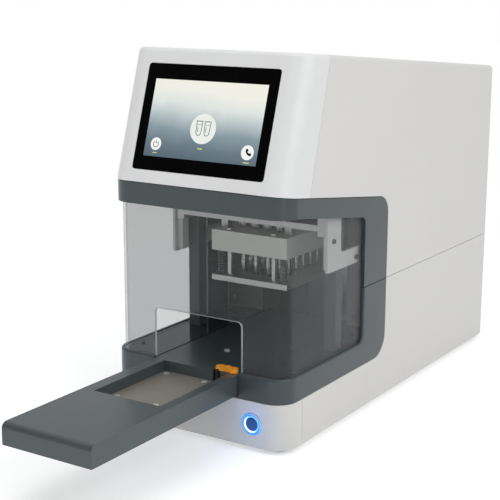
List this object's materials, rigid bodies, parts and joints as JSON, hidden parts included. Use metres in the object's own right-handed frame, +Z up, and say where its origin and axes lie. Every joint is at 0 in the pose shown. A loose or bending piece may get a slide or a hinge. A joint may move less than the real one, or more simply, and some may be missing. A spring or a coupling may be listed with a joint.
{
  "type": "tube recapper",
  "caption": "Bench-top recapper: rack tray slides out in front, capping head lowers inside a clear shield, tilted touch screen above.",
  "frame": {"origin": "on the bench under the middle of the machine's outline with the tray out", "axes": "+X across to the operator's right, +Y from the operator to the rear, +Z up"},
  "size_m": [0.245, 0.827, 0.4484],
  "materials": {
    "housing_white": "satin paint, fine texture",
    "console_grey": "fine-textured moulding",
    "frame_slate": "satin moulding",
    "tray_slate": "satin powder coat",
    "clear_shield": "clear, slightly smoky acrylic",
    "screen_glass": "gloss black cover glass",
    "black_parts": "black moulding",
    "rubber": "matt",
    "lit_blue": "lit ring",
    "button_blue": "gloss",
    "plate_metal": "brushed",
    "machined": "machined",
    "bracket_grey": "satin paint",
    "wall_grey": "satin paint",
    "steel": "ground steel",
    "block_white": "acetal",
    "lever_orange": "moulded",
    "spring_steel": "wire",
    "board_green": "solder mask"
  },
  "bodies": {
    "chassis": {"base_plate": "machined", "rubber_feet": "rubber", "front_panel": "housing_white", "lower_cover": "housing_white", "lower_frame": "frame_slate", "upper_frame": "frame_slate", "shield": "clear_shield", "console_bezel": "console_grey", "upper_cover": "housing_white", "rear_panel": "bracket_grey", "power_inlet": "black_parts", "display_glass": "screen_glass", "display_panel": "machined", "button_ring": "lit_blue", "chamber_floor": "tray_slate", "rear_wall": "wall_grey", "rail_brackets": "bracket_grey", "gantry": "machined", "tray_rails": "steel", "tray_motor": "black_parts", "lift_motor": "black_parts", "power_supply": "machined", "control_board": "board_green"},
    "tray": {"tray": "tray_slate", "tray_carriages": "machined", "rack_plate": "plate_metal", "tray_fasteners": "steel"},
    "rack_lever": {"rack_lever": "lever_orange"},
    "tray_screw": {"tray_screw": "steel"},
    "power_button": {"power_button": "button_blue"},
    "head": {"crosshead": "machined", "spindle_block": "block_white", "spindle_motor": "black_parts", "head_springs": "spring_steel"},
    "lift_screw": {"lift_screw": "steel"},
    "pressure_plate": {"pressure_plate": "machined"},
    "spindle_01": {"spindle_01": "steel"},
    "spindle_02": {"spindle_02": "steel"},
    "spindle_03": {"spindle_03": "steel"},
    "spindle_04": {"spindle_04": "steel"},
    "spindle_05": {"spindle_05": "steel"},
    "spindle_06": {"spindle_06": "steel"},
    "spindle_07": {"spindle_07": "steel"},
    "spindle_08": {"spindle_08": "steel"},
    "spindle_09": {"spindle_09": "steel"},
    "spindle_10": {"spindle_10": "steel"},
    "spindle_11": {"spindle_11": "steel"},
    "spindle_12": {"spindle_12": "steel"},
    "spindle_13": {"spindle_13": "steel"},
    "spindle_14": {"spindle_14": "steel"},
    "spindle_15": {"spindle_15": "steel"},
    "spindle_16": {"spindle_16": "steel"},
    "spindle_17": {"spindle_17": "steel"},
    "spindle_18": {"spindle_18": "steel"},
    "spindle_19": {"spindle_19": "steel"},
    "spindle_20": {"spindle_20": "steel"},
    "spindle_21": {"spindle_21": "steel"},
    "spindle_22": {"spindle_22": "steel"},
    "spindle_23": {"spindle_23": "steel"},
    "spindle_24": {"spindle_24": "steel"}
  },
  "joints": [
    {"name": "tray_slide", "type": "slide", "parent": "chassis", "child": "tray", "axis": [0, 1, 0], "range_m": [0, 0.256]},
    {"name": "tray_screw_turn", "type": "hinge", "parent": "chassis", "child": "tray_screw", "pos_m": [0, 0.1425, 0.045], "axis": [0, 1, 0], "range_deg": [-10, 4620]},
    {"name": "lever_pivot", "type": "hinge", "parent": "tray", "child": "rack_lever", "pos_m": [0.043, -0.1525, 0.09], "axis": [0, 0, 1], "range_deg": [0, 20]},
    {"name": "button_press", "type": "slide", "parent": "chassis", "child": "power_button", "axis": [0, 1, 0], "range_m": [0, 0.002], "stiffness_N_per_m": 600, "springref_m": -0.0015},
    {"name": "head_lift", "type": "slide", "parent": "chassis", "child": "head", "axis": [0, 0, 1], "range_m": [-0.036, 0]},
    {"name": "lift_screw_turn", "type": "hinge", "parent": "chassis", "child": "lift_screw", "pos_m": [0, 0.12747, 0.25], "axis": [0, 0, 1], "range_deg": [-10, 2610]},
    {"name": "plate_float", "type": "slide", "parent": "head", "child": "pressure_plate", "axis": [0, 0, 1], "range_m": [0, 0.01], "stiffness_N_per_m": 2000, "springref_m": -0.004, "deforming": ["head_springs"]},
    {"name": "spindle_01_turn", "type": "hinge", "parent": "head", "child": "spindle_01", "pos_m": [-0.027, -0.01213, 0.2], "axis": [0, 0, 1], "continuous": true},
    {"name": "spindle_02_turn", "type": "hinge", "parent": "head", "child": "spindle_02", "pos_m": [-0.009, -0.01213, 0.2], "axis": [0, 0, 1], "continuous": true},
    {"name": "spindle_03_turn", "type": "hinge", "parent": "head", "child": "spindle_03", "pos_m": [0.009, -0.01213, 0.2], "axis": [0, 0, 1], "continuous": true},
    {"name": "spindle_04_turn", "type": "hinge", "parent": "head", "child": "spindle_04", "pos_m": [0.027, -0.01213, 0.2], "axis": [0, 0, 1], "continuous": true},
    {"name": "spindle_05_turn", "type": "hinge", "parent": "head", "child": "spindle_05", "pos_m": [-0.027, 0.00587, 0.2], "axis": [0, 0, 1], "continuous": true},
    {"name": "spindle_06_turn", "type": "hinge", "parent": "head", "child": "spindle_06", "pos_m": [-0.009, 0.00587, 0.2], "axis": [0, 0, 1], "continuous": true},
    {"name": "spindle_07_turn", "type": "hinge", "parent": "head", "child": "spindle_07", "pos_m": [0.009, 0.00587, 0.2], "axis": [0, 0, 1], "continuous": true},
    {"name": "spindle_08_turn", "type": "hinge", "parent": "head", "child": "spindle_08", "pos_m": [0.027, 0.00587, 0.2], "axis": [0, 0, 1], "continuous": true},
    {"name": "spindle_09_turn", "type": "hinge", "parent": "head", "child": "spindle_09", "pos_m": [-0.027, 0.02387, 0.2], "axis": [0, 0, 1], "continuous": true},
    {"name": "spindle_10_turn", "type": "hinge", "parent": "head", "child": "spindle_10", "pos_m": [-0.009, 0.02387, 0.2], "axis": [0, 0, 1], "continuous": true},
    {"name": "spindle_11_turn", "type": "hinge", "parent": "head", "child": "spindle_11", "pos_m": [0.009, 0.02387, 0.2], "axis": [0, 0, 1], "continuous": true},
    {"name": "spindle_12_turn", "type": "hinge", "parent": "head", "child": "spindle_12", "pos_m": [0.027, 0.02387, 0.2], "axis": [0, 0, 1], "continuous": true},
    {"name": "spindle_13_turn", "type": "hinge", "parent": "head", "child": "spindle_13", "pos_m": [-0.027, 0.04187, 0.2], "axis": [0, 0, 1], "continuous": true},
    {"name": "spindle_14_turn", "type": "hinge", "parent": "head", "child": "spindle_14", "pos_m": [-0.009, 0.04187, 0.2], "axis": [0, 0, 1], "continuous": true},
    {"name": "spindle_15_turn", "type": "hinge", "parent": "head", "child": "spindle_15", "pos_m": [0.009, 0.04187, 0.2], "axis": [0, 0, 1], "continuous": true},
    {"name": "spindle_16_turn", "type": "hinge", "parent": "head", "child": "spindle_16", "pos_m": [0.027, 0.04187, 0.2], "axis": [0, 0, 1], "continuous": true},
    {"name": "spindle_17_turn", "type": "hinge", "parent": "head", "child": "spindle_17", "pos_m": [-0.027, 0.05987, 0.2], "axis": [0, 0, 1], "continuous": true},
    {"name": "spindle_18_turn", "type": "hinge", "parent": "head", "child": "spindle_18", "pos_m": [-0.009, 0.05987, 0.2], "axis": [0, 0, 1], "continuous": true},
    {"name": "spindle_19_turn", "type": "hinge", "parent": "head", "child": "spindle_19", "pos_m": [0.009, 0.05987, 0.2], "axis": [0, 0, 1], "continuous": true},
    {"name": "spindle_20_turn", "type": "hinge", "parent": "head", "child": "spindle_20", "pos_m": [0.027, 0.05987, 0.2], "axis": [0, 0, 1], "continuous": true},
    {"name": "spindle_21_turn", "type": "hinge", "parent": "head", "child": "spindle_21", "pos_m": [-0.027, 0.07787, 0.2], "axis": [0, 0, 1], "continuous": true},
    {"name": "spindle_22_turn", "type": "hinge", "parent": "head", "child": "spindle_22", "pos_m": [-0.009, 0.07787, 0.2], "axis": [0, 0, 1], "continuous": true},
    {"name": "spindle_23_turn", "type": "hinge", "parent": "head", "child": "spindle_23", "pos_m": [0.009, 0.07787, 0.2], "axis": [0, 0, 1], "continuous": true},
    {"name": "spindle_24_turn", "type": "hinge", "parent": "head", "child": "spindle_24", "pos_m": [0.027, 0.07787, 0.2], "axis": [0, 0, 1], "continuous": true}
  ],
  "couplings": [
    {"joint": "tray_screw_turn", "follows": "tray_slide", "rad_per_m": 314.16},
    {"joint": "lift_screw_turn", "follows": "head_lift", "rad_per_m": -1256.6},
    {"joint": "spindle_02_turn", "follows": "spindle_01_turn", "ratio": 1},
    {"joint": "spindle_03_turn", "follows": "spindle_01_turn", "ratio": 1},
    {"joint": "spindle_04_turn", "follows": "spindle_01_turn", "ratio": 1},
    {"joint": "spindle_05_turn", "follows": "spindle_01_turn", "ratio": 1},
    {"joint": "spindle_06_turn", "follows": "spindle_01_turn", "ratio": 1},
    {"joint": "spindle_07_turn", "follows": "spindle_01_turn", "ratio": 1},
    {"joint": "spindle_08_turn", "follows": "spindle_01_turn", "ratio": 1},
    {"joint": "spindle_09_turn", "follows": "spindle_01_turn", "ratio": 1},
    {"joint": "spindle_10_turn", "follows": "spindle_01_turn", "ratio": 1},
    {"joint": "spindle_11_turn", "follows": "spindle_01_turn", "ratio": 1},
    {"joint": "spindle_12_turn", "follows": "spindle_01_turn", "ratio": 1},
    {"joint": "spindle_13_turn", "follows": "spindle_01_turn", "ratio": 1},
    {"joint": "spindle_14_turn", "follows": "spindle_01_turn", "ratio": 1},
    {"joint": "spindle_15_turn", "follows": "spindle_01_turn", "ratio": 1},
    {"joint": "spindle_16_turn", "follows": "spindle_01_turn", "ratio": 1},
    {"joint": "spindle_17_turn", "follows": "spindle_01_turn", "ratio": 1},
    {"joint": "spindle_18_turn", "follows": "spindle_01_turn", "ratio": 1},
    {"joint": "spindle_19_turn", "follows": "spindle_01_turn", "ratio": 1},
    {"joint": "spindle_20_turn", "follows": "spindle_01_turn", "ratio": 1},
    {"joint": "spindle_21_turn", "follows": "spindle_01_turn", "ratio": 1},
    {"joint": "spindle_22_turn", "follows": "spindle_01_turn", "ratio": 1},
    {"joint": "spindle_23_turn", "follows": "spindle_01_turn", "ratio": 1},
    {"joint": "spindle_24_turn", "follows": "spindle_01_turn", "ratio": 1}
  ]
}
